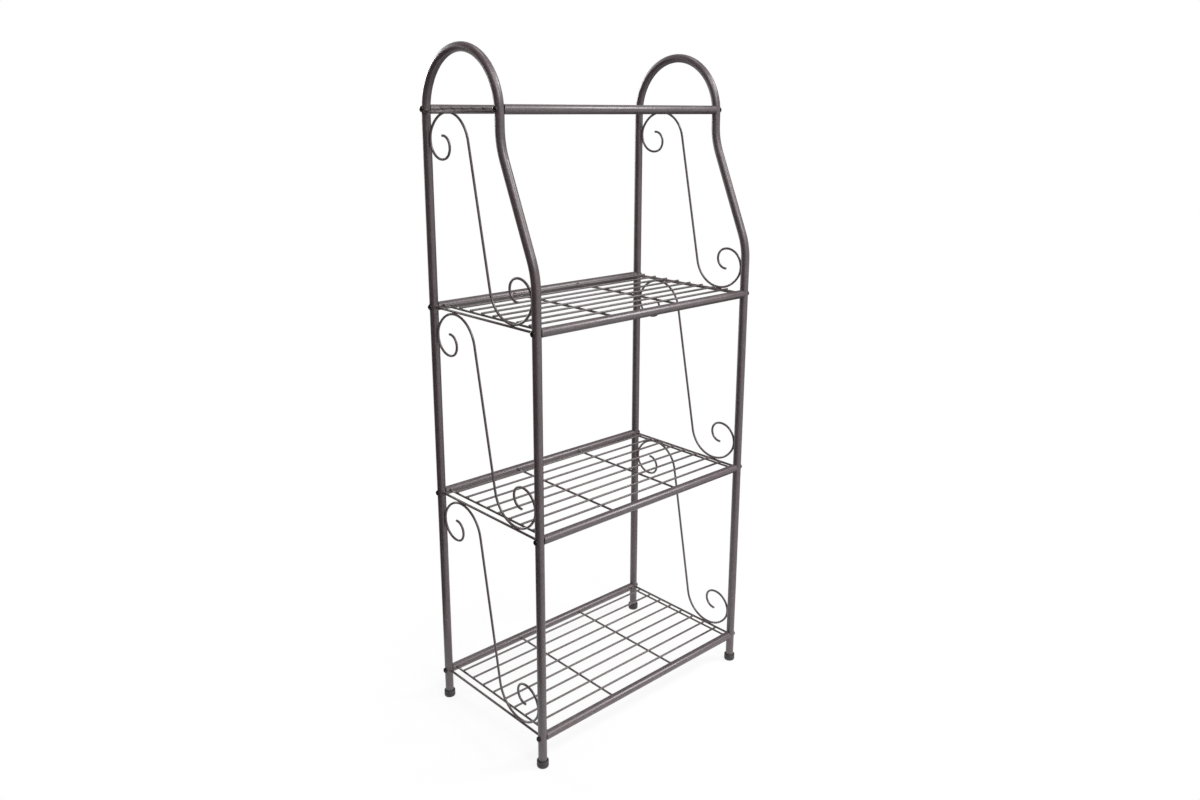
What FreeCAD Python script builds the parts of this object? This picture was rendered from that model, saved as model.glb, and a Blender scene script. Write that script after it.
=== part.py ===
"""Tiered plant stand of bent steel tube and wire, millimetres, +Z up.

The origin is on the floor, in the middle of the four feet. +X runs along the shelf rails to the right,
+Y to the rear. Two welded side frames (tube, bars and scrolls) are bolted to four welded shelves.
"""
import FreeCAD, Part
import math
import os

import Sketcher
from FreeCAD import Placement, Rotation, Vector

# Driving sizes: alias, value, what it measures
SIZES = (
    ("frame_spacing", 584, "centre plane of the left side frame to that of the right one"),
    ("shelf_depth", 332, "centre of the front leg to centre of the rear leg"),
    ("top_shelf_depth", 236, "the same at the top shelf, where the front leg stands further back"),
    ("bottom_rail_height", 66, "floor to the centre of the bottom shelf's rails"),
    ("bottom_tier", 428, "rail centre to rail centre, bottom to lower shelf"),
    ("middle_tier", 405, "rail centre to rail centre, lower to upper shelf"),
    ("top_tier", 390, "rail centre to rail centre, upper to top shelf"),
    ("tube_diameter", 18, "outside of the bent side tube"),
    ("tube_wall", 1.2, "wall of the bent side tube"),
    ("arch_drop", 7, "centre of the arch below the top rails"),
    ("kick_start_drop", 32, "start of the front leg's forward kick below the top rails"),
    ("kick_end_rise", 74, "end of that kick above the upper shelf's rails"),
    ("kick_radius", 145, "centre line radius of the two bends of the kick"),
    ("rail_diameter", 18, "outside of a shelf rail"),
    ("rail_wall", 1.2, "wall of a shelf rail"),
    ("side_bar_diameter", 5, "rod between the legs at each shelf"),
    ("scroll_wire", 5, "wire of the S-scrolls"),
    ("scroll_arch_radius", 66, "centre line radius of a scroll's wide end arch"),
    ("scroll_curl_radius", 38, "centre line radius where the scroll turns in beside the leg"),
    ("scroll_eye_radius", 22, "centre line radius of the scroll's innermost turn"),
    ("scroll_arch_setback", 61.5, "centre of the wide arch from the scroll's outermost line"),
    ("scroll_eye_shift", 5.5, "centre of the innermost turn from the centre of the curl, inwards"),
    ("scroll_eye_tip", 2, "end of the wire past the centre of the innermost turn"),
    ("long_wire_diameter", 4.5, "deck wires along the shelf"),
    ("long_wire_count", 8, "deck wires on a lower shelf"),
    ("top_long_wire_count", 6, "deck wires on the top shelf"),
    ("long_wire_overhang", 5, "deck wires past the outer cross wires"),
    ("cross_wire_diameter", 4.5, "wires under the deck, rail to rail"),
    ("cross_wire_count", 4, "cross wires in a shelf"),
    ("cross_wire_inset", 17, "outer cross wire from the centre plane of the side frame"),
    ("top_drop", 4.2, "wires and side bars of the top shelf below where a lower shelf has them"),
    ("weld_gap", 0.2, "root gap left between two pieces that are welded"),
    ("joint_gap", 0.1, "gap between faces that the bolts draw together"),
    ("bolt_diameter", 6, "thread of the frame bolts"),
    ("bolt_grip", 14, "bolt inside the rail"),
    ("bolt_clearance", 0.3, "radial clearance of a bolt in the side tube"),
    ("thread_gap", 0.05, "radial gap of a bolt in its threaded plug"),
    ("bolt_head_diameter", 12, "domed button head"),
    ("bolt_head_height", 3.8, "domed button head"),
    ("socket_flats", 4, "hexagon socket across flats"),
    ("socket_depth", 2.2, "hexagon socket"),
    ("plug_length", 18, "threaded plug in a rail end"),
    ("plug_gap", 0.05, "radial gap between plug and rail"),
    ("foot_diameter", 24.5, "outside of a cup foot"),
    ("foot_height", 15, "floor to the rim of a cup foot"),
    ("foot_base", 4, "floor of the cup under the leg"),
    ("foot_gap", 0.15, "radial gap between leg and cup"),
    ("foot_round", 3, "rounding of the cup's bottom edge"),
    ("foot_rim_round", 1, "rounding of the cup's rim"),
)

# Places that several pieces share, as expressions on the sheet
HALF_SPACING = "Sizes.frame_spacing / 2"
REAR_Y = "Sizes.shelf_depth / 2"
FRONT_Y = "-Sizes.shelf_depth / 2"
TOP_FRONT_Y = "(Sizes.shelf_depth / 2 - Sizes.top_shelf_depth)"
BOTTOM_Z = "Sizes.bottom_rail_height"
LOWER_Z = f"({BOTTOM_Z} + Sizes.bottom_tier)"
UPPER_Z = f"({LOWER_Z} + Sizes.middle_tier)"
TOP_Z = f"({UPPER_Z} + Sizes.top_tier)"
BOLT_HOLE_RADIUS = "Sizes.bolt_diameter / 2 + Sizes.bolt_clearance"
RAIL_HALF_LENGTH = "(Sizes.frame_spacing / 2 - Sizes.tube_diameter / 2 - Sizes.joint_gap)"
LONG_WIRE_RISE = "(Sizes.rail_diameter / 2 - Sizes.long_wire_diameter / 2)"
CROSS_WIRE_RISE = (
    f"({LONG_WIRE_RISE} - Sizes.long_wire_diameter / 2 - Sizes.weld_gap - Sizes.cross_wire_diameter / 2)"
)
SCROLL_REAR = "(Sizes.shelf_depth / 2 - Sizes.tube_diameter / 2 - Sizes.weld_gap - Sizes.scroll_wire / 2)"
SCROLL_ARCH_Y = f"({SCROLL_REAR} - Sizes.scroll_arch_setback)"
SCROLL_CURL_Y = f"({SCROLL_REAR} - Sizes.scroll_curl_radius)"
SCROLL_TOP_INSET = (
    "(Sizes.side_bar_diameter / 2 + Sizes.weld_gap + Sizes.scroll_wire / 2 + Sizes.scroll_arch_radius)"
)

# How far the arch has already turned in at the top of the top side bar, which is above the arch's centre
ARCH_RUN_IN = (
    "((Sizes.top_shelf_depth - Sizes.tube_diameter) / 2"
    " - sqrt(((Sizes.top_shelf_depth - Sizes.tube_diameter) / 2)^2"
    " - (Sizes.arch_drop - Sizes.top_drop + Sizes.side_bar_diameter / 2)^2))"
)

# The top side bar lies outside the scroll: its distance from the frame's centre plane,
# and the distance from the leg's centre line at which it meets the leg
TOP_BAR_LAP = "(Sizes.side_bar_diameter / 2 + Sizes.weld_gap + Sizes.scroll_wire / 2)"
TOP_BAR_SEAT = f"sqrt((Sizes.tube_diameter / 2)^2 - ({TOP_BAR_LAP} - Sizes.side_bar_diameter / 2)^2)"

# Shelves from the floor up: name, rail height, front rail's place, depth, deck wires, drop of wires and bars
SHELVES = (
    ("bottom", BOTTOM_Z, FRONT_Y, "Sizes.shelf_depth", "Sizes.long_wire_count", "0"),
    ("lower", LOWER_Z, FRONT_Y, "Sizes.shelf_depth", "Sizes.long_wire_count", "0"),
    ("upper", UPPER_Z, FRONT_Y, "Sizes.shelf_depth", "Sizes.long_wire_count", "0"),
    ("top", TOP_Z, TOP_FRONT_Y, "Sizes.top_shelf_depth", "Sizes.top_long_wire_count", "Sizes.top_drop"),
)
# Tiers between them: name, rail height below, height of the tier
TIERS = (
    ("bottom", BOTTOM_Z, "Sizes.bottom_tier"),
    ("middle", LOWER_Z, "Sizes.middle_tier"),
    ("top", UPPER_Z, "Sizes.top_tier"),
)
SIDES = (("left", -1), ("right", 1))
END_POINT = 2
START_POINT = 1
CENTRE_POINT = 3
ROOT = (-1, START_POINT)
UPRIGHT_AXIS = -2
LEVEL_AXIS = -1

doc = FreeCAD.newDocument("plant_stand")
sub_parts = []


def make_sheet():
    """The sheet of driving sizes: value in column A with its alias, meaning in column B."""
    sheet = doc.addObject("Spreadsheet::Sheet", "Sizes")
    for row, (alias, value, meaning) in enumerate(SIZES, start=1):
        sheet.set(f"A{row}", str(value))
        sheet.setAlias(f"A{row}", alias)
        sheet.set(f"B{row}", meaning)
    doc.recompute()
    return sheet


sizes = make_sheet()


def value(expression):
    """The number that an expression on the sheet gives now, for drawing a sketch near its solved shape."""
    return float(sizes.evalExpression(expression.replace("Sizes.", "")))


def new_body(name):
    """A body whose label names its piece."""
    body = doc.addObject("PartDesign::Body", name)
    body.Label = name
    return body


def origin_feature(body, role):
    """One of a body's own origin planes or axes."""
    return next(feature for feature in body.Origin.OriginFeatures if feature.Role == role)


def new_sketch(body, name, plane):
    """A sketch on one of its body's origin planes."""
    sketch = body.newObject("Sketcher::SketchObject", f"{body.Name}_{name}")
    sketch.AttachmentSupport = [(origin_feature(body, plane), "")]
    sketch.MapMode = "FlatFace"
    return sketch


def dimension(sketch, kind, *parts, is_):
    """Add a dimension and tie it to the sheet."""
    index = sketch.addConstraint(Sketcher.Constraint(kind, *parts, value(is_)))
    sketch.setExpression(f"Constraints[{index}]", is_)


def tie(sketch, kind, *parts):
    """Add a constraint that has no value."""
    sketch.addConstraint(Sketcher.Constraint(kind, *parts))


def draw_circle(sketch, radius, centre=None):
    """A circle of a sheet size, about the sketch's root point or about another circle's centre."""
    index = sketch.addGeometry(Part.Circle(Vector(), Vector(0, 0, 1), value(radius)), False)
    tie(sketch, "Coincident", index, CENTRE_POINT, *(ROOT if centre is None else (centre, CENTRE_POINT)))
    dimension(sketch, "Radius", index, is_=radius)
    return index


def draw_line(sketch, start, end):
    """A straight edge, given near its solved place."""
    return sketch.addGeometry(Part.LineSegment(Vector(*start, 0), Vector(*end, 0)), False)


def draw_arc(sketch, centre, radius, start, end):
    """An arc, counter-clockwise from one angle to another in radians, given near its solved place."""
    circle = Part.Circle(Vector(*centre, 0), Vector(0, 0, 1), radius)
    return sketch.addGeometry(Part.ArcOfCircle(circle, start, end), False)


def pad(body, sketch, length, side):
    """Pad a sketch to a sheet length, about its plane or to one side."""
    feature = body.newObject("PartDesign::Pad", f"{body.Name}_pad")
    feature.Profile = sketch
    feature.SideType = side
    feature.setExpression("Length", length)
    sketch.Visibility = False
    return feature


def place(piece, x="0", y="0", z="0"):
    """Tie a piece's place to the sheet."""
    for axis, expression in (("x", x), ("y", y), ("z", z)):
        piece.setExpression(f"Placement.Base.{axis}", expression)


def keep(piece):
    """Put a finished sub-part on the list that is checked and written."""
    sub_parts.append(piece)
    return piece


def signed(expression, sign):
    """An expression with the sign of a side."""
    return f"{sign} * ({expression})"


def leg_places():
    """Where the rails meet the legs: (y, z) expressions, front then rear on each shelf."""
    for _, height, front, _, _, _ in SHELVES:
        yield front, height
        yield REAR_Y, height


def kick_angle(half_step, drop, radius):
    """Lean of the kicked leg: two equal bends joined by their inner tangent, half_step apart across."""
    across = 2 * radius - 2 * half_step
    reach = math.hypot(across, drop)
    return math.atan2(drop, across) - math.acos(2 * radius / reach)


def draw_leg_line(sketch):
    """Centre line of a side tube: rear leg, arch, then the front leg with its forward kick."""
    rear, front, top_front = value(REAR_Y), value(FRONT_Y), value(TOP_FRONT_Y)
    foot = value("Sizes.foot_base")
    arch_height = f"{TOP_Z} - Sizes.arch_drop"
    kick_start = f"{TOP_Z} - Sizes.kick_start_drop"
    kick_end = f"{UPPER_Z} + Sizes.kick_end_rise"
    arch_z, start_z, end_z = value(arch_height), value(kick_start), value(kick_end)
    radius = value("Sizes.kick_radius")
    lean = kick_angle((top_front - front) / 2, start_z - end_z, radius)
    out = (radius * math.cos(lean), -radius * math.sin(lean))
    upper = (top_front - radius, start_z)
    lower = (front + radius, end_z)

    rear_leg = draw_line(sketch, (rear, foot), (rear, arch_z))
    arch = draw_arc(sketch, ((rear + top_front) / 2, arch_z), (rear - top_front) / 2, 0, math.pi)
    upper_leg = draw_line(sketch, (top_front, arch_z), (top_front, start_z))
    upper_bend = draw_arc(sketch, upper, radius, -lean, 0)
    kick = draw_line(sketch, (upper[0] + out[0], upper[1] + out[1]), (lower[0] - out[0], lower[1] - out[1]))
    lower_bend = draw_arc(sketch, lower, radius, math.pi - lean, math.pi)
    front_leg = draw_line(sketch, (front, end_z), (front, foot))

    for leg in (rear_leg, upper_leg, front_leg):
        tie(sketch, "Vertical", leg)
    for one, one_end, other, other_end in (
        (rear_leg, END_POINT, arch, START_POINT),
        (arch, END_POINT, upper_leg, START_POINT),
        (upper_leg, END_POINT, upper_bend, END_POINT),
        (upper_bend, START_POINT, kick, START_POINT),
        (kick, END_POINT, lower_bend, START_POINT),
        (lower_bend, END_POINT, front_leg, START_POINT),
    ):
        tie(sketch, "Tangent", one, one_end, other, other_end)
    tie(sketch, "Equal", upper_bend, lower_bend)
    dimension(sketch, "Radius", upper_bend, is_="Sizes.kick_radius")
    dimension(sketch, "Radius", arch, is_="Sizes.top_shelf_depth / 2")
    dimension(sketch, "DistanceX", *ROOT, rear_leg, START_POINT, is_=REAR_Y)
    dimension(sketch, "DistanceX", front_leg, END_POINT, *ROOT, is_=REAR_Y)
    for leg, end, height in (
        (rear_leg, START_POINT, "Sizes.foot_base"),
        (rear_leg, END_POINT, arch_height),
        (upper_leg, END_POINT, kick_start),
        (front_leg, START_POINT, kick_end),
        (front_leg, END_POINT, "Sizes.foot_base"),
    ):
        dimension(sketch, "DistanceY", *ROOT, leg, end, is_=height)


def side_tube(side, sign):
    """A bent side tube with its bolt holes, one at each end of each rail."""
    body = new_body(f"{side}_side_tube")
    line = new_sketch(body, "centre_line", "YZ_Plane")
    draw_leg_line(line)

    ring = new_sketch(body, "section", "XY_Plane")
    ring.setExpression("AttachmentOffset.Base.y", REAR_Y)
    ring.setExpression("AttachmentOffset.Base.z", "Sizes.foot_base")
    outside = draw_circle(ring, "Sizes.tube_diameter / 2")
    draw_circle(ring, "Sizes.tube_diameter / 2 - Sizes.tube_wall", centre=outside)
    doc.recompute()

    pipe = body.newObject("PartDesign::AdditivePipe", f"{body.Name}_pipe")
    pipe.Profile = ring
    pipe.Spine = line
    doc.recompute()

    holes = new_sketch(body, "bolt_holes", "YZ_Plane")
    for y, z in leg_places():
        hole = holes.addGeometry(Part.Circle(Vector(value(y), value(z), 0), Vector(0, 0, 1), 1), False)
        dimension(holes, "Radius", hole, is_=BOLT_HOLE_RADIUS)
        dimension(holes, "DistanceX", *ROOT, hole, CENTRE_POINT, is_=y)
        dimension(holes, "DistanceY", *ROOT, hole, CENTRE_POINT, is_=z)
    solid_volume = pipe.Shape.Volume
    pocket = body.newObject("PartDesign::Pocket", f"{body.Name}_drilling")
    pocket.Profile = holes
    pocket.Type = "ThroughAll"
    pocket.SideType = "Symmetric"
    place(body, x=signed(HALF_SPACING, sign))
    doc.recompute()
    if not pocket.Shape.Volume < solid_volume:
        raise RuntimeError(f"{body.Label}: the bolt holes cut nothing")
    return keep(body)


def side_bar(side, sign, shelf):
    """A rod between the legs of one side frame, at a shelf. The top one is lapped outside the scroll."""
    name, height, front, depth, _, drop = shelf
    if name == "top":
        across = f"({HALF_SPACING} + {TOP_BAR_LAP})"
        seat = f"({TOP_BAR_SEAT} + Sizes.weld_gap + {ARCH_RUN_IN})"
    else:
        across = HALF_SPACING
        seat = "(Sizes.tube_diameter / 2 + Sizes.weld_gap)"
    rod = doc.addObject("Part::Cylinder", f"{side}_{name}_side_bar")
    rod.Label = rod.Name
    rod.setExpression("Radius", "Sizes.side_bar_diameter / 2")
    rod.setExpression("Height", f"{depth} - 2 * {seat}")
    rod.Placement = Placement(Vector(), Rotation(Vector(1, 0, 0), -90))
    place(
        rod,
        x=signed(across, sign),
        y=f"{front} + {seat}",
        z=f"{height} - {drop}",
    )
    return keep(rod)


def draw_half_scroll(sketch, tier_height):
    """Half of a scroll's line, from its middle up to the wide arch, the curl and the eye by the rear leg."""
    arch_height = f"{tier_height} / 2 - {SCROLL_TOP_INSET}"
    arch_r = value("Sizes.scroll_arch_radius")
    curl_r = value("Sizes.scroll_curl_radius")
    eye_r = value("Sizes.scroll_eye_radius")
    arch_y, arch_z, curl_y = value(SCROLL_ARCH_Y), value(arch_height), value(SCROLL_CURL_Y)
    curl_z = arch_z + math.sqrt((arch_r - curl_r) ** 2 - (curl_y - arch_y) ** 2)
    shift = value("Sizes.scroll_eye_shift")
    eye_y = curl_y - shift
    eye_z = curl_z - math.sqrt((curl_r - eye_r) ** 2 - shift**2)

    reach = math.hypot(arch_y, arch_z)
    run = math.sqrt(reach**2 - arch_r**2)
    slope = math.atan2(arch_z, arch_y) + math.asin(arch_r / reach)
    join = (run * math.cos(slope), run * math.sin(slope))
    arch_end = math.atan2(join[1] - arch_z, join[0] - arch_y)
    curl_start = math.atan2(curl_z - arch_z, curl_y - arch_y)
    eye_start = math.atan2(eye_z - curl_z, eye_y - curl_y)
    tip = math.acos(value("Sizes.scroll_eye_tip") / eye_r)

    stem = draw_line(sketch, (0, 0), join)
    arch = draw_arc(sketch, (arch_y, arch_z), arch_r, curl_start, arch_end)
    curl = draw_arc(sketch, (curl_y, curl_z), curl_r, eye_start, curl_start)
    eye = draw_arc(sketch, (eye_y, eye_z), eye_r, tip, eye_start + 2 * math.pi)

    tie(sketch, "Coincident", stem, START_POINT, *ROOT)
    tie(sketch, "Tangent", stem, END_POINT, arch, END_POINT)
    tie(sketch, "Tangent", arch, START_POINT, curl, END_POINT)
    tie(sketch, "Tangent", curl, START_POINT, eye, END_POINT)
    dimension(sketch, "Radius", arch, is_="Sizes.scroll_arch_radius")
    dimension(sketch, "Radius", curl, is_="Sizes.scroll_curl_radius")
    dimension(sketch, "Radius", eye, is_="Sizes.scroll_eye_radius")
    dimension(sketch, "DistanceX", *ROOT, arch, CENTRE_POINT, is_=SCROLL_ARCH_Y)
    dimension(sketch, "DistanceY", *ROOT, arch, CENTRE_POINT, is_=arch_height)
    dimension(sketch, "DistanceX", *ROOT, curl, CENTRE_POINT, is_=SCROLL_CURL_Y)
    dimension(sketch, "DistanceX", eye, CENTRE_POINT, curl, CENTRE_POINT, is_="Sizes.scroll_eye_shift")
    dimension(sketch, "DistanceX", eye, CENTRE_POINT, eye, START_POINT, is_="Sizes.scroll_eye_tip")


def scroll(side, sign, tier):
    """An S-scroll of round wire that fills one tier of a side frame, the same upside down."""
    name, below, tier_height = tier
    body = new_body(f"{side}_{name}_scroll")
    line = new_sketch(body, "half_line", "YZ_Plane")
    draw_half_scroll(line, tier_height)
    doc.recompute()

    wire = body.newObject("Sketcher::SketchObject", f"{body.Name}_section")
    wire.AttachmentSupport = [(line, "Edge1")]
    wire.MapMode = "NormalToEdge"
    wire.MapPathParameter = 0
    draw_circle(wire, "Sizes.scroll_wire / 2")
    doc.recompute()

    half = body.newObject("PartDesign::AdditivePipe", f"{body.Name}_half")
    half.Profile = wire
    half.Spine = line
    doc.recompute()

    whole = body.newObject("PartDesign::PolarPattern", f"{body.Name}_whole")
    whole.Originals = [half]
    whole.Axis = (origin_feature(body, "X_Axis"), [""])
    whole.Angle = 360
    whole.Occurrences = 2
    body.Tip = whole
    place(body, x=signed(HALF_SPACING, sign), z=f"{below} + {tier_height} / 2")
    return keep(body)


def rail(shelf_name, row, y, z):
    """A shelf rail, a plain tube between the two side tubes."""
    body = new_body(f"{shelf_name}_{row}_rail")
    ring = new_sketch(body, "section", "YZ_Plane")
    outside = draw_circle(ring, "Sizes.rail_diameter / 2")
    draw_circle(ring, "Sizes.rail_diameter / 2 - Sizes.rail_wall", centre=outside)
    pad(body, ring, f"2 * {RAIL_HALF_LENGTH}", "Symmetric")
    place(body, y=y, z=z)
    return keep(body)


def wire_row(name, plane, radius, length, axis, span, count):
    """A row of parallel wires, the first one at the body's origin."""
    body = new_body(name)
    section = new_sketch(body, "section", plane)
    draw_circle(section, radius)
    first = pad(body, section, length, "Symmetric")
    doc.recompute()
    row = body.newObject("PartDesign::LinearPattern", f"{name}_row")
    row.Originals = [first]
    row.Direction = (origin_feature(body, axis), [""])
    row.setExpression("Length", span)
    row.setExpression("Occurrences", count)
    body.Tip = row
    return keep(body)


def shelf_deck(shelf):
    """The wires of one shelf: cross wires between the rails and the long wires that lie on them."""
    name, height, front, depth, count, drop = shelf
    pitch = f"{depth} / ({count} + 1)"
    long_wires = wire_row(
        f"{name}_long_wires",
        "YZ_Plane",
        "Sizes.long_wire_diameter / 2",
        "Sizes.frame_spacing - 2 * Sizes.cross_wire_inset + 2 * Sizes.long_wire_overhang",
        "Y_Axis",
        f"({count} - 1) * {pitch}",
        count,
    )
    place(long_wires, y=f"{front} + {pitch}", z=f"{height} + {LONG_WIRE_RISE} - {drop}")
    cross_wires = wire_row(
        f"{name}_cross_wires",
        "XZ_Plane",
        "Sizes.cross_wire_diameter / 2",
        f"{depth} - Sizes.rail_diameter - 2 * Sizes.weld_gap",
        "X_Axis",
        "Sizes.frame_spacing - 2 * Sizes.cross_wire_inset",
        "Sizes.cross_wire_count",
    )
    place(
        cross_wires,
        x=f"Sizes.cross_wire_inset - {HALF_SPACING}",
        y=f"{front} + {depth} / 2",
        z=f"{height} + {CROSS_WIRE_RISE} - {drop}",
    )


def bolt_pattern_piece():
    """One frame bolt along X: domed head with a hexagon socket outside x = 0, shank on the inside."""
    body = new_body("bolt")
    outline = new_sketch(body, "outline", "XY_Plane")
    shank_length = "Sizes.tube_diameter + 2 * Sizes.joint_gap + Sizes.bolt_grip"
    length, shank_r = value(shank_length), value("Sizes.bolt_diameter / 2")
    head_r, head_h = value("Sizes.bolt_head_diameter / 2"), value("Sizes.bolt_head_height")
    dome_r = (head_r**2 + head_h**2) / (2 * head_h)
    dome_x = head_h - dome_r

    tip = draw_line(outline, (-length, 0), (-length, shank_r))
    shank = draw_line(outline, (-length, shank_r), (0, shank_r))
    seat = draw_line(outline, (0, shank_r), (0, head_r))
    dome = draw_arc(outline, (dome_x, 0), dome_r, 0, math.atan2(head_r, -dome_x))
    core = draw_line(outline, (head_h, 0), (-length, 0))
    for one, one_end, other, other_end in (
        (tip, END_POINT, shank, START_POINT),
        (shank, END_POINT, seat, START_POINT),
        (seat, END_POINT, dome, END_POINT),
        (dome, START_POINT, core, START_POINT),
        (core, END_POINT, tip, START_POINT),
    ):
        tie(outline, "Coincident", one, one_end, other, other_end)
    tie(outline, "Vertical", tip)
    tie(outline, "Horizontal", shank)
    tie(outline, "PointOnObject", seat, START_POINT, UPRIGHT_AXIS)
    tie(outline, "PointOnObject", seat, END_POINT, UPRIGHT_AXIS)
    tie(outline, "PointOnObject", core, START_POINT, LEVEL_AXIS)
    tie(outline, "PointOnObject", core, END_POINT, LEVEL_AXIS)
    tie(outline, "PointOnObject", dome, CENTRE_POINT, LEVEL_AXIS)
    dimension(outline, "DistanceX", tip, START_POINT, *ROOT, is_=shank_length)
    dimension(outline, "DistanceY", *ROOT, shank, START_POINT, is_="Sizes.bolt_diameter / 2")
    dimension(outline, "DistanceY", *ROOT, seat, END_POINT, is_="Sizes.bolt_head_diameter / 2")
    dimension(outline, "DistanceX", *ROOT, core, START_POINT, is_="Sizes.bolt_head_height")
    turned = body.newObject("PartDesign::Revolution", "bolt_turned")
    turned.Profile = outline
    turned.ReferenceAxis = (outline, ["H_Axis"])
    turned.Angle = 360
    doc.recompute()

    socket = new_sketch(body, "socket", "YZ_Plane")
    socket.setExpression("AttachmentOffset.Base.z", "Sizes.bolt_head_height")
    draw_hexagon(socket, "Sizes.socket_flats / sqrt(3)")
    broached = body.newObject("PartDesign::Pocket", "bolt_socket_cut")
    broached.Profile = socket
    broached.Type = "Length"
    broached.setExpression("Length", "Sizes.socket_depth")
    doc.recompute()
    if not broached.Shape.Volume < turned.Shape.Volume:
        raise RuntimeError("bolt: the socket cuts nothing")
    return body


def draw_hexagon(sketch, corner_radius):
    """A regular hexagon about the root point, two of its sides upright."""
    radius = value(corner_radius)
    corners = [
        (radius * math.cos(math.radians(30 + 60 * k)), radius * math.sin(math.radians(30 + 60 * k)))
        for k in range(6)
    ]
    around = draw_circle(sketch, corner_radius)
    sketch.toggleConstruction(around)
    sides = [draw_line(sketch, corners[k], corners[(k + 1) % 6]) for k in range(6)]
    for k, edge in enumerate(sides):
        tie(sketch, "Coincident", edge, END_POINT, sides[(k + 1) % 6], START_POINT)
        tie(sketch, "PointOnObject", edge, START_POINT, around)
    for edge in sides[1:]:
        tie(sketch, "Equal", sides[0], edge)
    tie(sketch, "Vertical", sides[2])


def plug_pattern_piece():
    """One threaded plug along X, its outer face at x = 0."""
    body = new_body("plug")
    ring = new_sketch(body, "section", "YZ_Plane")
    outside = draw_circle(ring, "Sizes.rail_diameter / 2 - Sizes.rail_wall - Sizes.plug_gap")
    draw_circle(ring, "Sizes.bolt_diameter / 2 + Sizes.thread_gap", centre=outside)
    pad(body, ring, "Sizes.plug_length", "One side").Reversed = True
    return body


def at_every_joint(name, piece, distance):
    """A group of one piece repeated at every rail end, as far out from the middle as given."""
    copies = []
    for side, sign in SIDES:
        for number, (y, z) in enumerate(leg_places(), start=1):
            copy = doc.addObject("App::Link", f"{name}_{side}_{number}")
            copy.LinkedObject = piece
            copy.Placement = Placement(Vector(), Rotation(Vector(0, 0, 1), 0 if sign > 0 else 180))
            place(copy, x=signed(distance, sign), y=y, z=z)
            copies.append(copy)
    group = doc.addObject("Part::Compound", name)
    group.Label = name
    group.Links = copies
    return keep(group)


def round_edges(body, base, name, radius, circle_radius, height):
    """Fillet the edge of a turned piece that has a given radius and height."""
    doc.recompute()
    edges = [
        f"Edge{number}"
        for number, edge in enumerate(base.Shape.Edges, start=1)
        if isinstance(edge.Curve, Part.Circle)
        and abs(edge.Curve.Radius - circle_radius) < Part.Precision.confusion()
        and abs(edge.Curve.Center.z - height) < Part.Precision.confusion()
    ]
    fillet = body.newObject("PartDesign::Fillet", f"{body.Name}_{name}")
    fillet.Base = (base, edges)
    fillet.setExpression("Radius", radius)
    return fillet


def foot(row, side, sign, y):
    """A cup foot on the end of a leg."""
    body = new_body(f"{row}_{side}_foot")
    outline = new_sketch(body, "outline", "XZ_Plane")
    outer, height = "Sizes.foot_diameter / 2", "Sizes.foot_height"
    socket, base = "Sizes.tube_diameter / 2 + Sizes.foot_gap", "Sizes.foot_base"
    corners = ((0, 0), (outer, 0), (outer, height), (socket, height), (socket, base), (0, base))
    points = [(value(str(across)), value(str(up))) for across, up in corners]
    edges = [draw_line(outline, points[k], points[(k + 1) % 6]) for k in range(6)]
    for k, edge in enumerate(edges):
        tie(outline, "Coincident", edge, END_POINT, edges[(k + 1) % 6], START_POINT)
        tie(outline, "Vertical" if k % 2 else "Horizontal", edge)
    tie(outline, "Coincident", edges[0], START_POINT, *ROOT)
    dimension(outline, "DistanceX", *ROOT, edges[1], START_POINT, is_=outer)
    dimension(outline, "DistanceY", *ROOT, edges[2], START_POINT, is_=height)
    dimension(outline, "DistanceX", *ROOT, edges[3], START_POINT, is_=socket)
    dimension(outline, "DistanceY", *ROOT, edges[4], START_POINT, is_=base)
    turned = body.newObject("PartDesign::Revolution", f"{body.Name}_turned")
    turned.Profile = outline
    turned.ReferenceAxis = (outline, ["V_Axis"])
    turned.Angle = 360
    bottom = round_edges(body, turned, "bottom_round", "Sizes.foot_round", value(outer), 0)
    round_edges(body, bottom, "rim_round", "Sizes.foot_rim_round", value(outer), value(height))
    place(body, x=signed(HALF_SPACING, sign), y=y)
    return keep(body)


def check():
    """Stop unless every object recomputed and every sub-part is a sound solid or group of solids."""
    doc.recompute()
    for item in doc.Objects:
        if {"Invalid", "Error"} & set(item.State):
            raise RuntimeError(f"{item.Label}: {item.State}")
    for piece in sub_parts:
        shape = piece.Shape
        if shape.isNull() or not shape.isValid() or not shape.Solids:
            raise RuntimeError(f"{piece.Label}: not a sound solid")


def write():
    """Write each sub-part to a file named by its label."""
    os.makedirs("parts", exist_ok=True)
    for piece in sub_parts:
        piece.Shape.exportStep(f"parts/{piece.Label}.step")
        print(f"{piece.Label}: {len(piece.Shape.Solids)} solids, {piece.Shape.Volume:.0f} mm3")


# Side frames
for side_name, side_sign in SIDES:
    side_tube(side_name, side_sign)
    for level in SHELVES:
        side_bar(side_name, side_sign, level)
    for gap in TIERS:
        scroll(side_name, side_sign, gap)
    foot("front", side_name, side_sign, FRONT_Y)
    foot("rear", side_name, side_sign, REAR_Y)

# Shelves
for level in SHELVES:
    rail(level[0], "front", level[2], level[1])
    rail(level[0], "rear", REAR_Y, level[1])
    shelf_deck(level)

# Fastenings
at_every_joint(
    "frame_bolts", bolt_pattern_piece(), f"{HALF_SPACING} + Sizes.tube_diameter / 2 + Sizes.joint_gap"
)
at_every_joint("rail_plugs", plug_pattern_piece(), RAIL_HALF_LENGTH)

check()
write()
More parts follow.
